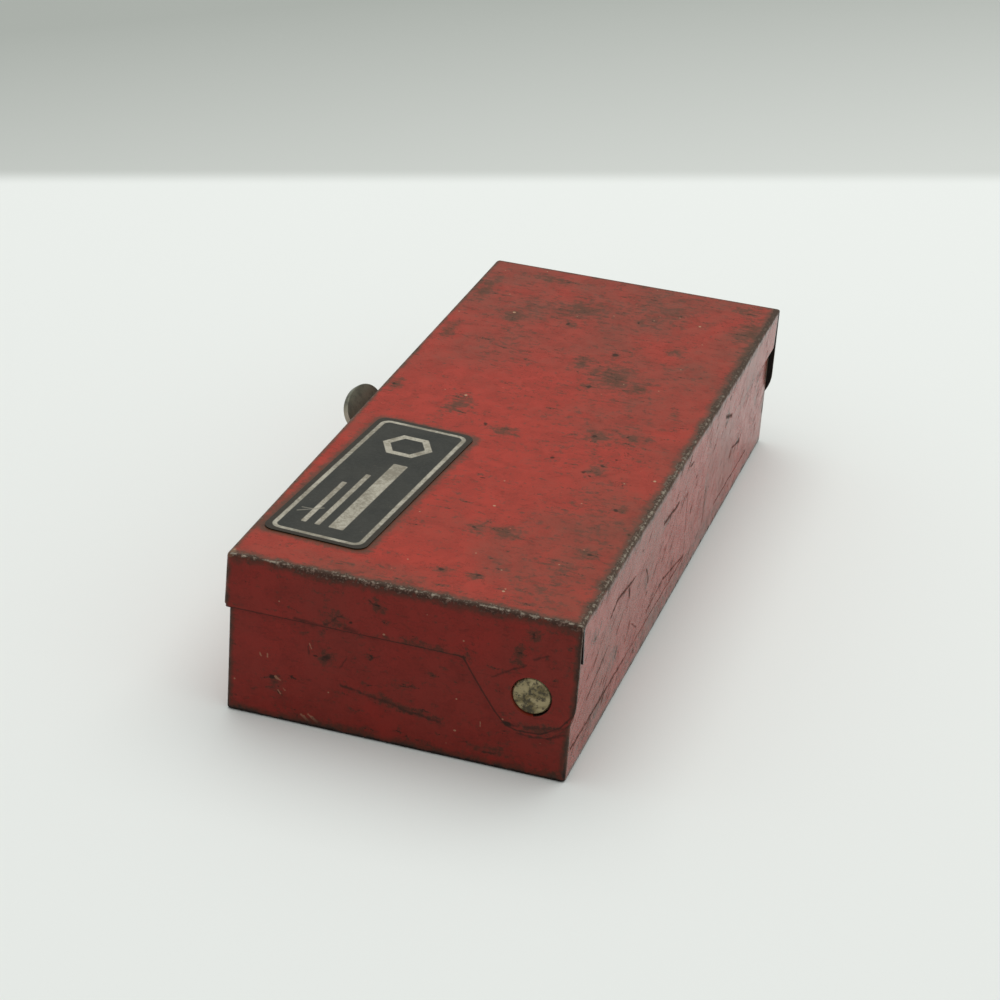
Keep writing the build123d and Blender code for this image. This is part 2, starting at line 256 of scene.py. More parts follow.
def dirtied(tree, place, coat, soiled, grimy_lines):
    """Shares under a soft haze of oil and dust, which is thin on the long walls, under grime
    packed along lines, and under brown specks."""
    haze = add(tree, "Math", (coat.streak, 1.3, soiled), operation="MULTIPLY_ADD")
    haze = add(tree, "Math", (coat.mottle, 0.8, haze), operation="MULTIPLY_ADD")
    haze = add(tree, "Math", (coat.speck, 0.9, haze), operation="MULTIPLY_ADD")
    haze = add(tree, "MapRange", (haze, 1.6, 2.7, 0, 0.58), interpolation_type="SMOOTHSTEP")
    hazy = add(tree, "MapRange", (coat.at_wall, 0, 1, 1, 0.3))
    haze = add(tree, "Math", (haze, hazy), operation="MULTIPLY")
    gathered = line_distance(tree, place, top_metric, grimy_lines)
    gathered = add(tree, "Math", (coat.speck, -0.8, gathered), operation="MULTIPLY_ADD")
    gathered = add(tree, "MapRange", (gathered, 0, 0.6, 0.85, 0), interpolation_type="SMOOTHSTEP")
    outside = add(tree, "Math", (1, coat.inside), operation="SUBTRACT")
    gathered = add(tree, "Math", (gathered, outside), operation="MULTIPLY")
    specks = add(tree, "Math", (coat.streak, 0.8, coat.speck), operation="MULTIPLY_ADD")
    specks = add(tree, "Math", (soiled, 0.29, specks), operation="MULTIPLY_ADD")
    specks = add(tree, "Math", (coat.cloud, -0.3, specks), operation="MULTIPLY_ADD")
    specks = add(tree, "MapRange", (specks, 0.8, 1.06, 0, 0.7), interpolation_type="SMOOTHSTEP")
    return haze, gathered, specks


def pitted(tree, coat, wavy, soiled, nicks):
    """The share gone to dark pits in the nicks, and to the short dashes scattered between them."""
    dashes = add(tree, "Math", (coat.grain, 0.35, coat.streak), operation="MULTIPLY_ADD")
    dashes = add(tree, "Math", (soiled, 0.1, dashes), operation="MULTIPLY_ADD")
    dashes = add(tree, "MapRange", (dashes, 0.86, 0.94, 0, 0.85), interpolation_type="SMOOTHSTEP")
    pits = nearness(tree, wavy, nicks)
    pits = add(tree, "Math", (coat.streak, 1.6, pits), operation="MULTIPLY_ADD")
    pits = add(tree, "MapRange", (pits, 1.1, 1.55, 0, 0.9), interpolation_type="SMOOTHSTEP")
    return add(tree, "Math", (pits, dashes), operation="MAXIMUM")


def scratched(tree, place, coat, wavy):
    """The share gone to dark scratches, and the hairs among them. Broken cracks wander over every
    face, and hairs lie aslant on the long walls. The long scratches, and the dirt and painted shade
    under the lid's edge, are drawn as lines."""
    cracks = add(tree, "Math", (coat.mottle, 0.5), operation="SUBTRACT")
    cracks = add(tree, "Math", (cracks,), operation="ABSOLUTE")
    cracks = add(tree, "MapRange", (cracks, 0.001, 0.007, 0.8, 0), interpolation_type="SMOOTHSTEP")
    broken = add(tree, "Math", (coat.streak, coat.cloud), operation="ADD")
    broken = add(tree, "MapRange", (broken, 1.02, 1.12, 0, 0.8), interpolation_type="SMOOTHSTEP")
    cracks = add(tree, "Math", (cracks, broken), operation="MULTIPLY")
    combed = add(tree, "Mapping", {"Vector": place, "Scale": hair_sizes,
                                   "Rotation": (0, radians(hair_slope), 0)}, vector_type="TEXTURE")
    hairs = add(tree, "TexNoise", {"Vector": combed, "Scale": 1, "Detail": 2, "Roughness": 0.5,
                                   "Distortion": 0.3})
    hairs = add(tree, "Math", (coat.mottle, 0.3, hairs), operation="MULTIPLY_ADD")
    hairs = add(tree, "MapRange", (hairs, 0.775, 0.845, 0, 0.7), interpolation_type="SMOOTHSTEP")
    hair_share = add(tree, "MapRange", (coat.at_wall, 0, 1, 0.3, 1))
    hairs = add(tree, "Math", (hairs, hair_share), operation="MULTIPLY")
    lines = add(tree, "Math", (line_distance(tree, wavy, end_metric, end_lines),
                               line_distance(tree, wavy, back_metric, back_lines)),
                operation="MINIMUM")
    lines = add(tree, "Math", (coat.speck, -1.6, lines), operation="MULTIPLY_ADD")
    lines = add(tree, "MapRange", (lines, -0.8, 0.35, 1, 0), interpolation_type="SMOOTHSTEP")
    line_share = add(tree, "MapRange", (coat.at_wall, 0, 1, 0.6, 0.9))
    lines = add(tree, "Math", (lines, line_share), operation="MULTIPLY")
    # The lid's lower edge: dirt and painted shade in the gap
    seam = line_distance(tree, place, both_ends_metric, seam_lines)
    seam = add(tree, "Math", (coat.speck, -0.8, seam), operation="MULTIPLY_ADD")
    seam = add(tree, "MapRange", (seam, -0.2, 0.6, 0.75, 0), interpolation_type="SMOOTHSTEP")
    seam = add(tree, "Math", (seam, coat.at_end), operation="MULTIPLY")
    scratches = add(tree, "Math", (cracks, hairs), operation="MAXIMUM")
    scratches = add(tree, "Math", (scratches, lines), operation="MAXIMUM")
    scratches = add(tree, "Math", (scratches, seam), operation="MAXIMUM")
    return scratches, hairs


def chipped(tree, place, coat, beige_spots):
    """The share scraped to a pale beige: fine flecks everywhere, and chips and short scratches."""
    flecks = add(tree, "TexVoronoi", {"Vector": place, "Scale": 1 / fleck_spacing})
    flecks = add(tree, "MapRange", (flecks, fleck_size / fleck_spacing * 0.6,
                                    fleck_size / fleck_spacing, 0.85, 0))
    chips = nearness(tree, place, beige_spots)
    chips = add(tree, "MapRange", (chips, 0.15, 0.4), interpolation_type="SMOOTHSTEP")
    scraped = line_distance(tree, place, end_metric, beige_lines)
    scraped = add(tree, "Math", (coat.speck, -2.4, scraped), operation="MULTIPLY_ADD")
    scraped = add(tree, "MapRange", (scraped, -0.9, 0, 0.8, 0), interpolation_type="SMOOTHSTEP")
    chips = add(tree, "Math", (chips, scraped), operation="MAXIMUM")
    return add(tree, "Math", (chips, flecks), operation="MAXIMUM")


def worn_folds(tree, place, coat, folds):
    """Shares that are rubbed brown along the folds, worn through to oxide, bare along the crest and
    painted black as shade, and the oxide's colour. Hands have polished the near end's upper folds
    most."""
    fold = line_distance(tree, place, whole_metric, folds)
    ragged = add(tree, "Math", (coat.mottle, -2.6, fold), operation="MULTIPLY_ADD")
    ragged = add(tree, "Math", (coat.speck, -1.6, ragged), operation="MULTIPLY_ADD")
    rubbed = add(tree, "MapRange", (ragged, -1.4, -0.2, 0.75, 0), interpolation_type="SMOOTHSTEP")
    worn = add(tree, "MapRange", (ragged, -1.7, -1.3, 1, 0), interpolation_type="SMOOTHSTEP")
    from_middle = add(tree, "SeparateXYZ", (place,), output="X")
    height = add(tree, "SeparateXYZ", (place,), output="Z")
    handled = add(tree, "MapRange", (from_middle, polish_start, polish_end, 0.2, 1))
    raised = add(tree, "MapRange", (height, lid_high.z - 2 * crest_depth,
                                    lid_high.z - crest_depth, 0.15, 1))
    polished = add(tree, "Math", (handled, raised), operation="MULTIPLY")
    grey = add(tree, "Math", (coat.grain, coat.speck), operation="ADD")
    grey = add(tree, "MapRange", (grey, 0.98, 1.25, 0, 0.9), interpolation_type="SMOOTHSTEP")
    grey = add(tree, "Math", (grey, polished), operation="MULTIPLY")
    oxide = add(tree, "Mix", {0: grey, 6: colour(oxide_dark), 7: colour(oxide_grey)}, output=2,
                data_type="RGBA")
    crest = add(tree, "Math", (coat.speck, -1.2, fold), operation="MULTIPLY_ADD")
    crest = add(tree, "Math", (coat.streak, -1.2, crest), operation="MULTIPLY_ADD")
    bare = add(tree, "MapRange", (crest, -1.36, -1.04, 0.7, 0), interpolation_type="SMOOTHSTEP")
    bare = add(tree, "Math", (bare, polished), operation="MULTIPLY")
    return rubbed, worn, oxide, bare, painted_black_shade(tree, place, coat, fold, height)


def painted_black_shade(tree, place, coat, fold, height):
    """The share painted black as shade: a contact shadow along the fold that the case stands on,
    and shadow in the lid's slits.
    """
    standing = add(tree, "Math", (coat.speck, -0.6, fold), operation="MULTIPLY_ADD")
    standing = add(tree, "MapRange", (standing, 0.05, 0.35, 0.9, 0),
                   interpolation_type="SMOOTHSTEP")
    lowest = add(tree, "MapRange", (height, ground_height, 2 * ground_height, 1, 0))
    standing = add(tree, "Math", (standing, lowest), operation="MULTIPLY")
    slit = line_distance(tree, place, whole_metric, slit_shade_lines)
    slit = add(tree, "MapRange", (slit, 0.75, 1, 0.95, 0))
    return add(tree, "Math", (standing, slit), operation="MAXIMUM")


def enamel(name, folds, grimy_lines, smudges, nicks, beige_spots, hazes, sound_spots):
    """Red stoving enamel over steel: a hard gloss gone dull and dirty in patches. It is rubbed
    through at the folds to dark oxide, and there along the crest to grey steel. Fine scratches,
    pits and specks of oil and rust lie all over it. The ends are painted a deeper, darker red as
    shade, and the long walls a paler pink-red as sheen."""
    material, tree, place = new_material(name)
    coat = coat_of(tree, place)
    wave = add(tree, "TexNoise", {"Vector": place, "Scale": 1 / wave_size, "Detail": 2},
               output="Color")
    wave = add(tree, "VectorMath", (wave, (0.5, 0.5, 0.5)), operation="SUBTRACT")
    wavy = add(tree, "VectorMath", {0: wave, "Scale": waviness}, operation="SCALE")
    wavy = add(tree, "VectorMath", (place, wavy), operation="ADD")
    soiled = add(tree, "Math", (nearness(tree, place, hazes), haze_strength), operation="MULTIPLY")
    soiled = add(tree, "Math", (soiled, nearness(tree, place, smudges)), operation="MAXIMUM")
    bright, painted_end_shade, painted_wall_sheen, freckles = faded(tree, coat, nearness(tree, place, sound_spots))
    haze, gathered, specks = dirtied(tree, place, coat, soiled, grimy_lines)
    pits = pitted(tree, coat, wavy, soiled, nicks)
    scratches, hairs = scratched(tree, place, coat, wavy)
    chips = chipped(tree, place, coat, beige_spots)
    rubbed, worn, oxide, bare, shade_black = worn_folds(tree, place, coat, folds)
    # The inside's back corners are darkened as grease and painted shade
    greased_and_shaded = add(tree, "MapRange", (nearness(tree, place, hinge_spots), 0.05, 0.35),
                  interpolation_type="SMOOTHSTEP")
    greased_and_shaded = add(tree, "Math", (greased_and_shaded, coat.inside), operation="MULTIPLY")

    paint = colour(enamel_dull)
    # The ends take a deeper red as painted shade, and the long walls a paler pink-red as painted
    # sheen
    for share, tone in (
            (bright, colour(enamel_red)), (painted_end_shade, colour(shaded_end_red)), (painted_wall_sheen, colour(sheen_wall_red)),
            (freckles, colour(enamel_shade)), (haze, colour(grime_soft)),
            (gathered, colour(grime_brown)), (specks, colour(grime_brown)),
            (pits, colour(grime_dark)), (scratches, colour(grime_dark)),
            (chips, colour(scratch_beige)), (rubbed, colour(grime_brown)), (worn, oxide),
            # black as painted shadow under the standing fold and in the slits
            (shade_black, colour(painted_contact_shadow))):
        paint = add(tree, "Mix", {0: share, 6: paint, 7: tone}, output=2, data_type="RGBA")
    # The ends and the inside faces are multiplied darker as painted shade
    for share, tint in ((coat.at_end, end_shade_tint), (coat.inside, inside_shade_tint)):
        paint = add(tree, "Mix", {0: share, 6: paint, 7: colour(tint)}, output=2,
                    data_type="RGBA", blend_type="MULTIPLY")
    for share, cover in ((greased_and_shaded, hinge_grease_and_shade), (bare, steel_bright)):
        paint = add(tree, "Mix", {0: share, 6: paint, 7: colour(cover)}, output=2,
                    data_type="RGBA")

    swell = add(tree, "TexNoise", {"Vector": place, "Scale": 1 / swell_size, "Detail": 1})
    relief = add(tree, "Math", (swell, swell_depth), operation="MULTIPLY")
    relief = add(tree, "Math", (coat.speck, speck_depth, relief), operation="MULTIPLY_ADD")
    relief = add(tree, "Math", (coat.grain, grain_depth, relief), operation="MULTIPLY_ADD")
    relief = add(tree, "Math", (hairs, -hair_depth, relief), operation="MULTIPLY_ADD")
    normal = add(tree, "Bump", {"Height": relief, "Distance": 1 / mm})
    rough = add(tree, "MapRange", (coat.mottle, 0.35, 0.65, 0.4, 0.48))
    rough = add(tree, "Math", (coat.at_wall, -0.22, rough), operation="MULTIPLY_ADD")
    dull = add(tree, "Math", (pits, worn), operation="MAXIMUM")
    dull = add(tree, "Math", (dull, haze), operation="MAXIMUM")
    dull = add(tree, "Math", (dull, scratches), operation="MAXIMUM")
    rough = add(tree, "Math", (dull, 0.3, rough), operation="MULTIPLY_ADD")
    matt = add(tree, "Math", (scratches, coat.at_wall), operation="MULTIPLY")
    rough = add(tree, "Math", (matt, 0.3, rough), operation="MULTIPLY_ADD")
    metallic = add(tree, "Math", (bare, 0.85), operation="MULTIPLY")
    shader = add(tree, "BsdfPrincipled", {"Base Color": paint, "Metallic": metallic,
                                          "Roughness": rough, "Specular IOR Level": 0.18,
                                          "Normal": normal})
    add(tree, "OutputMaterial", (shader,))
    return material


# Oily back corners of the inside, painted near black as grease and shade, and the slits beside the
# lid's back flange, painted black as shadow
hinge_reach = (12, 12, 26)
hinge_spots = [(Vector((end_x, lid_high.y, lid_high.z / 2)), hinge_reach, (0, 0, 0))
               for end_x in (tray_low.x, tray_high.x)]
# The slits are painted black as shadow between the lid's flange and the tray
slit_top = Vector((lid_high.x - 1.2, lid_high.y - 0.3, 36.6))
slit_bottom = Vector((lid_high.x - 2.6, lid_high.y - 0.3, 27.5))
slit_half_width = 0.8
slit_shade_lines = [(slit_top * Vector((end, 1, 1)), slit_bottom * Vector((end, 1, 1)), slit_half_width)
              for end in (-1, 1)]

# Dirt and painted shade along the lid's lower edge, then the scratches, each led by its half width
seam_lines = strokes(end_place, [
    (0.42, (-0.5, seam_depth), (53.1, seam_depth)),
    (0.34, (53.1, seam_depth), (57.0, 18.6), (60.8, 23.9), (63.3, 26.5), (65.8, 27.3),
     (71, 27.0), (75.0, 24.5), (77.6, 20.9))])
end_lines = strokes(end_place, [
    (0.5, (26.4, 26.1), (35.8, 27.6), (40.8, 28.9), (48.9, 29.8)),
    (0.45, (59.5, 15.8), (63.3, 13.6), (66.7, 11.4)),
    (0.4, (68.3, 9.8), (71.4, 8.3)),
    (0.35, (18.9, 18.3), (19.2, 20.5)),
    (0.4, (22.6, 12.0), (26.4, 8.9)),
    (0.4, (32.0, 4.2), (34.6, 5.5)),
    (0.3, (26.0, 22.0), (27.6, 19.5)),
    (0.4, (32.6, 18.3), (34.5, 17.3)),
    (0.6, (16.0, 12.2), (22.0, 12.4)),
    (0.8, (27.0, 12.2), (29.8, 12.0)),
    (0.7, (62.6, 26.0), (65.8, 26.2)),
    (0.55, (67.6, 26.1), (74.0, 25.3), (77.5, 23.5)),
    (0.5, (65.8, 27.8), (72.0, 28.2), (76.0, 26.6)),
    (0.3, (53.0, 33.6), (55.0, 33.2)),
    (0.4, (58.6, 34.6), (61.6, 34.4))])
back_lines = strokes(back_place, [
    (0.6, (24, 10), (29, 8.2), (37, 9), (47, 10.5)),
    (0.8, (45, 13), (46, 16)),
    (0.5, (61, 16), (63, 18.5), (64, 21)),
    (0.6, (3, 31), (46, 31.5)),
    (0.35, (46, 31.5), (101, 32)),
    (0.5, (14, 24.5), (29, 20)),
    (0.45, (65, 29), (80, 27.8), (101, 31.5)),
    (0.7, (70, 8.5), (84, 9.5)),
    (0.5, (71, 11), (80, 11.4)),
    (0.5, (93, 4), (96, 4.2)),
    (0.7, (131, 7), (138, 9.5)),
    (0.5, (150, 23.5), (159, 25.5)),
    (0.4, (133, 32), (169, 32.5)),
    (0.35, (99, 14), (101, 30)),
    (0.35, (121, 22), (120, 32)),
    (0.14, (16, 12), (37, 24)),
    (0.3, (51, 25), (56, 28.5)),
    (0.14, (85, 16), (104, 27)),
    (0.14, (104, 13), (124, 25))])
beige_lines = strokes(end_place, [
    (0.22, (8.0, 22.5), (8.3, 23.2)), (0.22, (9.7, 22.4), (9.8, 23.2)),
    (0.38, (17.9, 35.4), (19.7, 36.8)), (0.3, (18.5, 35.5), (19.6, 36.8)),
    (0.38, (19.5, 35.0), (21.4, 36.3)), (0.18, (19.1, 17.8), (19.6, 18.9)),
    (0.34, (11.7, 27.5), (12.8, 28.1)), (0.2, (12.4, 30.6), (13.0, 31.4)),
    (0.22, (13.6, 29.9), (14.0, 30.3)), (0.16, (57.6, 27.6), (57.7, 28.8)),
    (0.3, (0.4, 20.2), (0.6, 24.0))])

# Marks on the near end and the back: place, length, height and turn
end_smudges = end_spots([
    (68, 4.5, 5, 8, 0), (65, 9.5, 4, 9, 0), (33.9, 5.1, 7, 4, -30), (24.4, 10.4, 8, 6, 30),
    (23.1, 20.3, 7, 6, 0), (70.75, 26.0, 14, 4, 8), (37.9, 27.9, 26, 4, -9), (60, 34, 16, 4, 0),
    (12.0, 29.4, 6, 8, 0), (45, 12.4, 30, 4, 0)])
end_nicks = end_spots([
    (23.1, 20.4, 4.2, 3.8, 0), (20.5, 20.4, 2, 1.2, 0), (11.0, 27.6, 2.6, 2.0, -20),
    (12.6, 29.8, 1.6, 1.4, 0), (12.6, 31.2, 1.2, 1.2, 0), (28.4, 10.2, 2, 1.8, 0),
    (34.0, 5.0, 2, 1, 0), (67.9, 4.4, 1.6, 3, 0), (63.8, 26.2, 4, 1.6, 0)])
back_smudges = back_spots([
    (35, 25, 12, 9, 10), (62, 19.5, 6, 9, 0), (73, 10, 16, 7, 0), (121, 24, 6, 16, 0),
    (133, 8, 12, 8, 0), (157, 24, 14, 8, 0), (12, 8, 14, 7, 0), (160, 12, 30, 10, 0),
    (90, 34, 180, 5, 0), (20, 33, 40, 6, 0), (176, 20, 12, 26, 0)])
back_nicks = back_spots([
    (45.5, 14.5, 3, 4.4, 0), (37.5, 25.5, 4, 3, 30), (63.5, 23.5, 2.6, 3, 0), (134, 3, 2.4, 3, 0),
    (133, 8, 5, 3, 0), (157, 24.5, 6, 2, 5), (12.5, 12, 2.4, 2, 0), (51, 34, 2, 2, 0),
    (7, 34.5, 2, 2, 0), (50, 6, 3, 1.5, 0), (21, 27, 2, 2, 0)])
end_beige = end_spots([(35.7, 11.4, 0.8, 0.6, 0), (52.2, 31.0, 0.9, 0.6, 0),
                       (52.1, 23.4, 0.6, 0.5, 0),
                       (0.7, 0.2, 3.2, 1.8, 0), (77.3, 0.4, 2.4, 2.0, 0)])

# Grime and painted shade in the tray's back corners, below the far ear and in the near slit, and
# the worn folds
corner_grime_and_shade = 3
grimy_shaded_corners = [
    (Vector((end_x, tray_high.y, low)), Vector((end_x, tray_high.y, high)), corner_grime_and_shade)
    for end_x, low, high in ((tray_low.x, 8, 30), (tray_high.x, 27, 36))]
tray_folds = (ring_folds(tray_low, tray_high, tray_low.z, 1.5, 1, 1.2)
              + ring_folds(tray_low, tray_high, tray_high.z, 0.6, 0.6, 0.6)
              + upright_folds(tray_low, tray_high, 0.9) + grimy_shaded_corners)
tray = nodes["tray"]
tray.data.materials.clear()
tray.data.materials.append(enamel(
    "red_stoving_enamel_on_tray", tray_folds, [], end_smudges + back_smudges,
    end_nicks + back_nicks, end_beige, [], []))


# Lid. The same sheet and enamel, folded down on all four sides, with an ear at the back of each
# end. Its top has been leant and worked on: grime patches, small knocks, and grime round the plate.
top_smudges = top_spots([
    (125.5, 28.2, 30, 18, 0), (118, 32, 8, 7, 0), (127.4, 33.3, 10, 8, 0), (131.8, 37.6, 17, 9, 0),
    (121.8, 20.8, 14, 10, 0), (90.5, 22, 13, 9, 0), (93, 14.5, 10, 6, 0), (73, 17.6, 12, 8, 0),
    (33.6, 33.3, 9, 9, 0), (34.3, 27, 10, 12, 0), (11.8, 27, 8, 6, 0), (11.8, 34, 6, 8, 0),
    (55.5, 7, 7, 6, 0), (31.8, 8.3, 10, 8, 0), (110.5, 8.9, 9, 5, 0), (170, 3.5, 30, 11, 0),
    (160, 1, 60, 7, 0), (149, 17.6, 10, 8, 0), (163.6, 31.4, 8, 5, 0), (164, 47, 30, 22, 0),
    (154, 47, 8, 6, 0), (94, 57.6, 15, 11, 0), (84, 43, 10, 11, 0), (168, 74, 30, 9, 0),
    (137, 74, 24, 7, 0), (99, 75, 14, 5, 0), (153, 62, 17, 10, 0),
    (183, 7, 12, 12, 0), (182, 60, 10, 20, 0)])
top_hazes = top_spots([
    (172, 30, 56, 60, 0), (18, 12, 44, 34, 0), (4, 40, 12, 90, 0), (140, 58, 60, 24, 10),
    (125, 30, 70, 50, 0), (160, 60, 60, 36, 0), (90, 18, 60, 34, 0), (50, 12, 60, 24, 0)])
top_nicks = top_spots([
    (75.5, 17, 2.4, 1.8, 20), (70.5, 20, 3.2, 2, 0), (69.3, 18, 2.2, 1.8, 0),
    (74.9, 28.9, 3, 2.6, 0), (33.6, 33.9, 2.6, 3.2, 0), (11.8, 34.4, 3.4, 2.6, 0),
    (118, 32, 4, 2.4, 0), (139.9, 31.4, 3, 2.2, 0), (54.9, 8.2, 2.6, 2.2, 0),
    (44.3, 2.2, 3.4, 1.8, 0), (86.1, 48.3, 2.8, 2, 0), (154.3, 47.6, 3, 1.8, 0),
    (90.7, 23, 3, 2.4, 0), (80, 15, 2.2, 1.6, 0), (12.5, 26.5, 3, 2, 0), (163, 31.5, 3.4, 1.6, 0),
    (58, 40, 1.6, 2.6, 20), (93.5, 15.5, 2.6, 1.6, 0), (99, 75.5, 3, 1.6, 0), (31.5, 7.5, 2, 2, 0)])
top_beige = top_spots([
    (8, 19.5, 0.9, 0.9, 0), (45.5, 33.3, 0.9, 0.9, 0), (99.9, 57.6, 1.3, 1.0, 0),
    (155.5, 62.6, 1.3, 1.1, 0), (168, 16.4, 1.2, 0.9, 0), (73, 3.9, 1.2, 0.9, 0)])
top_sound = top_spots([
    (70, 50, 130, 80, 0), (85, 66, 60, 20, 0), (62, 34, 40, 22, 0), (18, 50, 18, 40, 0)])
plate_low, plate_high = (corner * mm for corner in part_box("name_plate"))
plate_length = 65
plate_width = 23.8
plate_turn = -3.7
plate_inset = 1.2
plate_grime_width = 3.6
plate_middle = (plate_low + plate_high) / 2
plate_corners = [plate_middle + Matrix.Rotation(radians(plate_turn), 3, "Z") @ Vector(
    (side_x * (plate_length / 2 - plate_inset), side_y * (plate_width / 2 - plate_inset), 0))
    for side_x, side_y in ((1, -1), (1, 1), (-1, 1), (-1, -1))]
plate_grime = [(plate_corners[turn - 1], plate_corners[turn], plate_grime_width)
               for turn in range(4)]
top_low = Vector((-lid_high.x, front_fold, 0))
rub_shift = 0.5
top_high = lid_high - Vector((rub_shift, rub_shift, 0))
lid_folds = (ring_folds(top_low, top_high, lid_high.z, 1.4, 0.9, 1.4)
             + upright_folds(top_low, lid_high, 0.8))
lid = nodes["lid"]
lid.data.materials.clear()
lid.data.materials.append(enamel(
    "red_stoving_enamel_on_lid", lid_folds, plate_grime, top_smudges + end_smudges + back_smudges,
    top_nicks + end_nicks + back_nicks, top_beige + end_beige, top_hazes, top_sound))


# Hinge rivets. Soft steel rivets with flat heads, set flush in a dimple at each end of the case.
# They were never painted after setting: tarnished grey metal with oily brown spots.
spots_to_patch = 2.6
spot_height = 0.03
patch_height = 0.05


def tarnished_steel(name, clean, stain, dark, patch_size, edge_highlight):
    """Bare mild steel, rolled or headed cold: a dull grey metal, browned by oxide in soft patches
    and spotted with old oil."""
    material, tree, place = new_material(name)
    patches = add(tree, "TexNoise", {"Vector": place, "Scale": 1 / patch_size, "Detail": 3,
                                     "Roughness": 0.6, "Distortion": 0.6})
    spots = add(tree, "TexNoise", {"Vector": place, "Scale": spots_to_patch / patch_size,
                                   "Detail": 3, "Roughness": 0.65})
    stained = add(tree, "MapRange", (patches, 0.36, 0.64), interpolation_type="SMOOTHSTEP")
    surface = add(tree, "Mix", {0: stained, 6: colour(clean), 7: colour(stain)}, output=2,
                  data_type="RGBA")
    spotted = add(tree, "Math", (patches, 0.5, spots), operation="MULTIPLY_ADD")
    spotted = add(tree, "MapRange", (spotted, 0.72, 0.86, 0, 0.85), interpolation_type="SMOOTHSTEP")
    surface = add(tree, "Mix", {0: spotted, 6: surface, 7: colour(dark)}, output=2,
                  data_type="RGBA")
    # Faces that look along the case's length are painted bright steel: partly rubbed metal, partly
    # a painted highlight
    edgewise = add(tree, "VectorMath", (add(tree, "TexCoord", output="Normal"),),
                   operation="ABSOLUTE")
    edgewise = add(tree, "SeparateXYZ", (edgewise,), output="X")
    highlighted = add(tree, "MapRange", (edgewise, 0.35, 0.75, 0, edge_highlight))
    surface = add(tree, "Mix", {0: highlighted, 6: surface, 7: colour(steel_bright)}, output=2,
                  data_type="RGBA")
    relief = add(tree, "Math", (spots, spot_height), operation="MULTIPLY")
    relief = add(tree, "Math", (patches, patch_height, relief), operation="MULTIPLY_ADD")
    normal = add(tree, "Bump", {"Height": relief, "Distance": 1 / mm})
    metallic = add(tree, "MapRange", (spotted, 0, 1, 0.6, 0.15))
    rough = add(tree, "MapRange", (patches, 0.3, 0.7, 0.4, 0.58))
    shader = add(tree, "BsdfPrincipled", {"Base Color": surface, "Metallic": metallic,
                                          "Roughness": rough, "Normal": normal})
    add(tree, "OutputMaterial", (shader,))
    return material


rivet_steel = tarnished_steel("tarnished_rivet_steel", clean="9A8D6B", stain="6B5F40",
                              dark="2E2817", patch_size=3, edge_highlight=0)
for side in ("right", "left"):
    rivet = nodes["hinge_rivet_" + side]
    rivet.data.materials.clear()
    rivet.data.materials.append(rivet_steel)


# Latch. A spring steel hasp turns on a pin in a hinge leaf, which two rivets hold to the front of
# the tray; its tab snaps over a rib in the lid's skirt. Blackened steel, rubbed bright at the tab,
# with a painted highlight in bright steel on the faces that look along the case.
latch_steel = tarnished_steel("blackened_latch_steel", clean="6F6F60", stain="5F5F50",
                              dark="46463A", patch_size=6, edge_highlight=0.95)
for name in ("latch_base", "latch_rivets", "latch_hasp"):
    nodes[name].data.materials.clear()
    nodes[name].data.materials.append(latch_steel)
nodes["latch_pin"].data.materials.clear()
nodes["latch_pin"].data.materials.append(rivet_steel)


# Name plate. Thin aluminium, printed with a charcoal panel inside a bare silver line, and glued
# on a little askew. The print is plain: a hexagon and three bars.
panel_dark = "23241F"
panel_grey = "2D2D27"
scuff_grey = "6E6A5E"
silver_clean = "B4AF9F"
silver_soiled = "857F70"
scratch_silver = "8A8678"
rim_grime = "2B2317"
scuff_size = 0.9
fade_size = 9
surface_grain = 0.03
ink_height = 0.02
border_inset = 1.25
border_width = 1.0
border_corner = 2.4
scratches = [((21.7, -8.3, 0), (18.1, -3.7, 0), 0.3), ((19.8, -8, 0), (19.4, -5, 0), 0.25)]
hexagon_place = (-20, 0, 0)
hexagon_inner = 3.7
hexagon_outer = 5.3
bars = ((8, 2.6, 36, 3.4), (12, -1.8, 28, 1.2), (15, -5, 22, 1.2))
ink_edge = 0.1


def outline_distance(tree, local, length, width, radius):
    """Millimetres from a rounded rectangle's outline, negative inside, down to minus the radius."""
    flat = add(tree, "VectorMath", (local, (1, 1, 0)), operation="MULTIPLY")
    flat = add(tree, "VectorMath", (flat,), operation="ABSOLUTE")
    past = add(tree, "VectorMath", (flat, (length / 2 - radius, width / 2 - radius, 0)),
               operation="SUBTRACT")
    past = add(tree, "VectorMath", (past, (0, 0, 0)), operation="MAXIMUM")
    reach = add(tree, "VectorMath", (past,), operation="LENGTH", output="Value")
    return add(tree, "Math", (reach, radius), operation="SUBTRACT")


def band(tree, value, low, high):
    """1 where the value lies between the two bounds and 0 outside, with the ink's soft edge."""
    above = add(tree, "MapRange", (value, low - ink_edge, low + ink_edge))
    below = add(tree, "MapRange", (value, high - ink_edge, high + ink_edge, 1, 0))
    return add(tree, "Math", (above, below), operation="MULTIPLY")


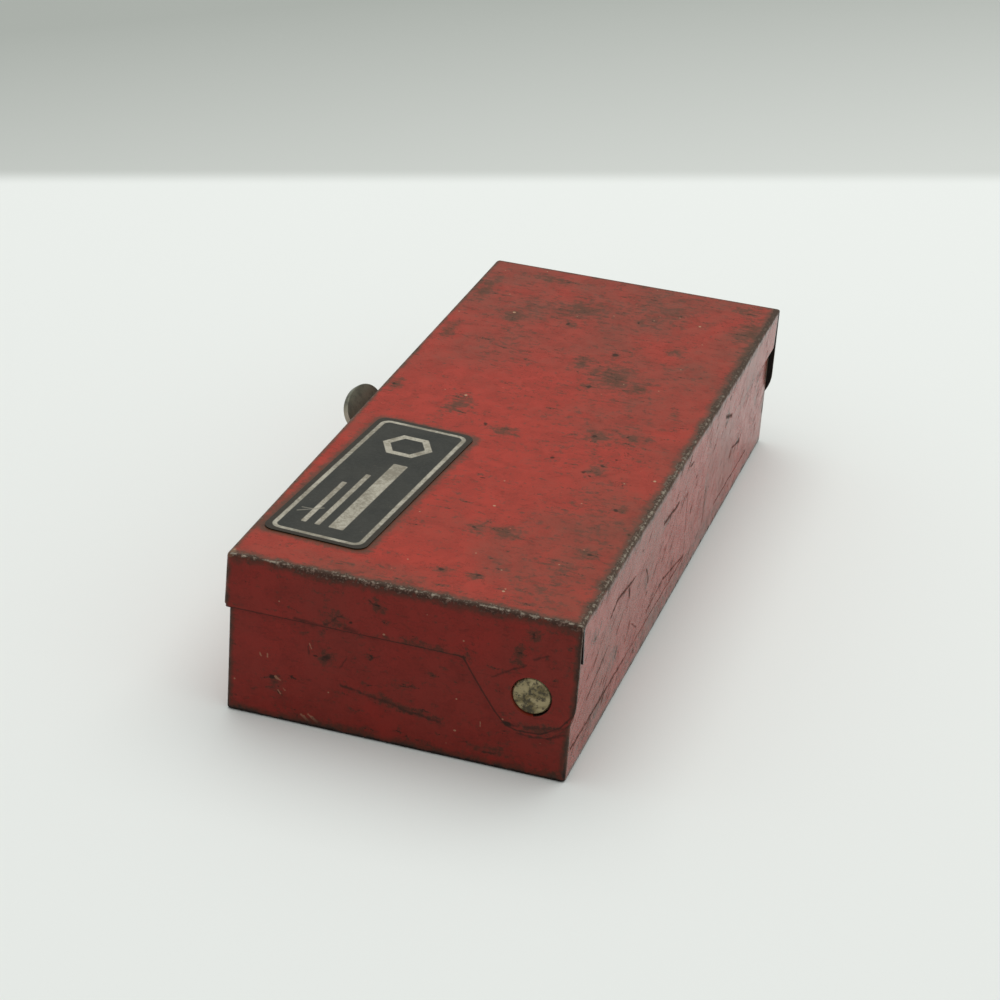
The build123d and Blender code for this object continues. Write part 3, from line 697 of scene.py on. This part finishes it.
def printed_plate():
    """Ink on thin aluminium: satin charcoal that has gone grey and been scuffed, with the bare
    metal showing as dull silver lines, and grime packed along the plate's edge."""
    material, tree, place = new_material("printed_aluminium_plate")
    local = add(tree, "Mapping", {"Vector": place, "Location": plate_middle,
                                  "Rotation": (0, 0, radians(plate_turn))}, vector_type="TEXTURE")
    fine = add(tree, "TexNoise", {"Vector": place, "Scale": 1 / scuff_size, "Detail": 3,
                                  "Roughness": 0.7})
    cloud = add(tree, "TexNoise", {"Vector": place, "Scale": 1 / fade_size, "Detail": 4,
                                   "Distortion": 0.5})
    border = outline_distance(tree, local, plate_length - 2 * border_inset,
                              plate_width - 2 * border_inset, border_corner)
    shapes = band(tree, border, -border_width, 0)
    for bar_x, bar_y, length, width in bars:
        moved = add(tree, "VectorMath", (local, (bar_x, bar_y, 0)), operation="SUBTRACT")
        bar = outline_distance(tree, moved, length, width, ink_edge * 3)
        shapes = add(tree, "Math", (shapes, band(tree, bar, -plate_width, 0)), operation="MAXIMUM")
    hexagon = add(tree, "VectorMath", (local, hexagon_place), operation="SUBTRACT")
    hexagon = add(tree, "VectorMath", (hexagon,), operation="ABSOLUTE")
    slope = add(tree, "VectorMath", (hexagon, (cos(radians(60)), sin(radians(60)), 0)),
                output="Value", operation="DOT_PRODUCT")
    level = add(tree, "SeparateXYZ", (hexagon,), output="X")
    reach = add(tree, "Math", (slope, level), operation="MAXIMUM")
    ring = band(tree, reach, hexagon_inner, hexagon_outer)
    shapes = add(tree, "Math", (shapes, ring), operation="MAXIMUM")

    greyed = add(tree, "MapRange", (cloud, 0.35, 0.65), interpolation_type="SMOOTHSTEP")
    panel = add(tree, "Mix", {0: greyed, 6: colour(panel_dark), 7: colour(panel_grey)}, output=2,
                data_type="RGBA")
    scuffs = add(tree, "MapRange", (fine, 0.6, 0.78, 0, 0.4), interpolation_type="SMOOTHSTEP")
    panel = add(tree, "Mix", {0: scuffs, 6: panel, 7: colour(scuff_grey)}, output=2,
                data_type="RGBA")
    soiled = add(tree, "Math", (fine, cloud), operation="ADD")
    soiled = add(tree, "MapRange", (soiled, 0.75, 1.25), interpolation_type="SMOOTHSTEP")
    silver = add(tree, "Mix", {0: soiled, 6: colour(silver_clean), 7: colour(silver_soiled)},
                 output=2, data_type="RGBA")
    surface = add(tree, "Mix", {0: shapes, 6: panel, 7: silver}, output=2, data_type="RGBA")
    scraped = line_distance(tree, local, top_metric, scratches)
    scraped = add(tree, "Math", (fine, -1.2, scraped), operation="MULTIPLY_ADD")
    scraped = add(tree, "MapRange", (scraped, -0.2, 0.5, 0.6, 0))
    surface = add(tree, "Mix", {0: scraped, 6: surface, 7: colour(scratch_silver)}, output=2,
                  data_type="RGBA")
    rim = add(tree, "Math", (fine, 0.5, border), operation="MULTIPLY_ADD")
    rim = add(tree, "MapRange", (rim, 0.25, 0.5, 0, 0.9))
    surface = add(tree, "Mix", {0: rim, 6: surface, 7: colour(rim_grime)}, output=2,
                  data_type="RGBA")
    relief = add(tree, "Math", (fine, surface_grain), operation="MULTIPLY")
    relief = add(tree, "Math", (shapes, -ink_height, relief), operation="MULTIPLY_ADD")
    normal = add(tree, "Bump", {"Height": relief, "Distance": 1 / mm})
    metallic = add(tree, "Math", (shapes, 0.3), operation="MULTIPLY")
    rough = add(tree, "MapRange", (fine, 0.3, 0.7, 0.4, 0.55))
    shader = add(tree, "BsdfPrincipled", {"Base Color": surface, "Metallic": metallic,
                                          "Roughness": rough, "Specular IOR Level": 0.2,
                                          "Normal": normal})
    add(tree, "OutputMaterial", (shader,))
    return material


name_plate = nodes["name_plate"]
name_plate.data.materials.clear()
name_plate.data.materials.append(printed_plate())


# Floor. A white paper sheet under and behind the case; beyond a soft line it falls off in shade.
# Its size and the line's ends are in metres.
paper_white = "E9EDE9"
shade_near = "D0D4CF"
shade_far = "A9AEA8"
floor_size = 6
shade_line_start = Vector((-0.1858, -0.2329))
shade_line_end = Vector((-0.3469, 0.067))
shade_depth = 260
leftward = 0.35
shade_edge = 8
shape = bmesh.new()
bmesh.ops.create_grid(shape, x_segments=1, y_segments=1, size=floor_size / 2)
floor_mesh = bpy.data.meshes.new("floor")
shape.to_mesh(floor_mesh)
shape.free()
floor = bpy.data.objects.new("floor", floor_mesh)
bpy.context.scene.collection.objects.link(floor)

line = (shade_line_end - shade_line_start).normalized()
beyond = Vector((-line.y, line.x, 0))
line_reach = beyond.xy.dot(shade_line_start) * mm
falling = beyond - Vector((*line, 0)) * leftward
fall_start = falling.xy.dot((shade_line_start + shade_line_end) / 2) * mm - shade_depth / 6
material, tree, place = new_material("white_paper_sheet")
distance = add(tree, "VectorMath", (place, beyond), output="Value", operation="DOT_PRODUCT")
fallen = add(tree, "VectorMath", (place, falling), output="Value", operation="DOT_PRODUCT")
deeper = add(tree, "MapRange", (fallen, fall_start, fall_start + shade_depth))
shade = add(tree, "Mix", {0: deeper, 6: colour(shade_near), 7: colour(shade_far)}, output=2,
            data_type="RGBA")
shaded = add(tree, "MapRange", (distance, line_reach - shade_edge, line_reach + shade_edge),
             interpolation_type="SMOOTHSTEP")
paper = add(tree, "Mix", {0: shaded, 6: colour(paper_white), 7: shade}, output=2, data_type="RGBA")
shader = add(tree, "BsdfPrincipled", {"Base Color": paper, "Roughness": 0.9,
                                      "Specular IOR Level": 0.1})
add(tree, "OutputMaterial", (shader,))
floor.data.materials.append(material)


# Light. One large soft box above and a little behind, and the even light of a pale room.
lamp_place = Vector((-0.35, 0, 1.3))
lamp_size = 1.6
lamp_power = 11
room_strength = 0.6
room_grey = "C8CCC8"
lamp_data = bpy.data.lights.new("soft_box", "AREA")
lamp_data.shape = "SQUARE"
lamp_data.size = lamp_size
lamp_data.energy = lamp_power
lamp = bpy.data.objects.new("soft_box", lamp_data)
towards = (-lamp_place).to_track_quat("-Z", "Y")
lamp.matrix_world = Matrix.Translation(lamp_place) @ towards.to_matrix().to_4x4()
bpy.context.scene.collection.objects.link(lamp)

world = bpy.data.worlds.new("pale_room")
bpy.context.scene.world = world
world.use_nodes = True
tree = world.node_tree
tree.nodes.clear()
rays = tree.nodes.new("ShaderNodeLightPath")
seen = add(tree, "Math", (rays.outputs["Is Camera Ray"], rays.outputs["Is Glossy Ray"]),
           operation="MAXIMUM")
seen = add(tree, "Math", (seen, rays.outputs["Is Transmission Ray"]), operation="MAXIMUM")
light = add(tree, "Background", {"Color": (1, 1, 1, 1), "Strength": room_strength})
view = add(tree, "Background", {"Color": colour(room_grey), "Strength": 1.0})
sky = add(tree, "MixShader", (seen, light, view))
add(tree, "OutputWorld", (sky,))


# Camera. It stands where the photograph was taken from, above the near right corner.
camera_place = Vector((0.569113, 0.151427, 0.301738))
camera_azimuth = 105.52
camera_elevation = 25.92
camera_roll = 4.29
camera_data = bpy.data.cameras.new("camera")
camera_data.lens = 98.4
camera_data.sensor_width = 36
camera_data.clip_start = 0.01
camera = bpy.data.objects.new("camera", camera_data)
camera.matrix_world = (Matrix.Translation(camera_place)
                       @ Matrix.Rotation(radians(camera_azimuth), 4, "Z")
                       @ Matrix.Rotation(radians(90 - camera_elevation), 4, "X")
                       @ Matrix.Rotation(radians(camera_roll), 4, "Z"))
bpy.context.scene.collection.objects.link(camera)
bpy.context.scene.camera = camera
bpy.context.scene.view_settings.view_transform = "Standard"
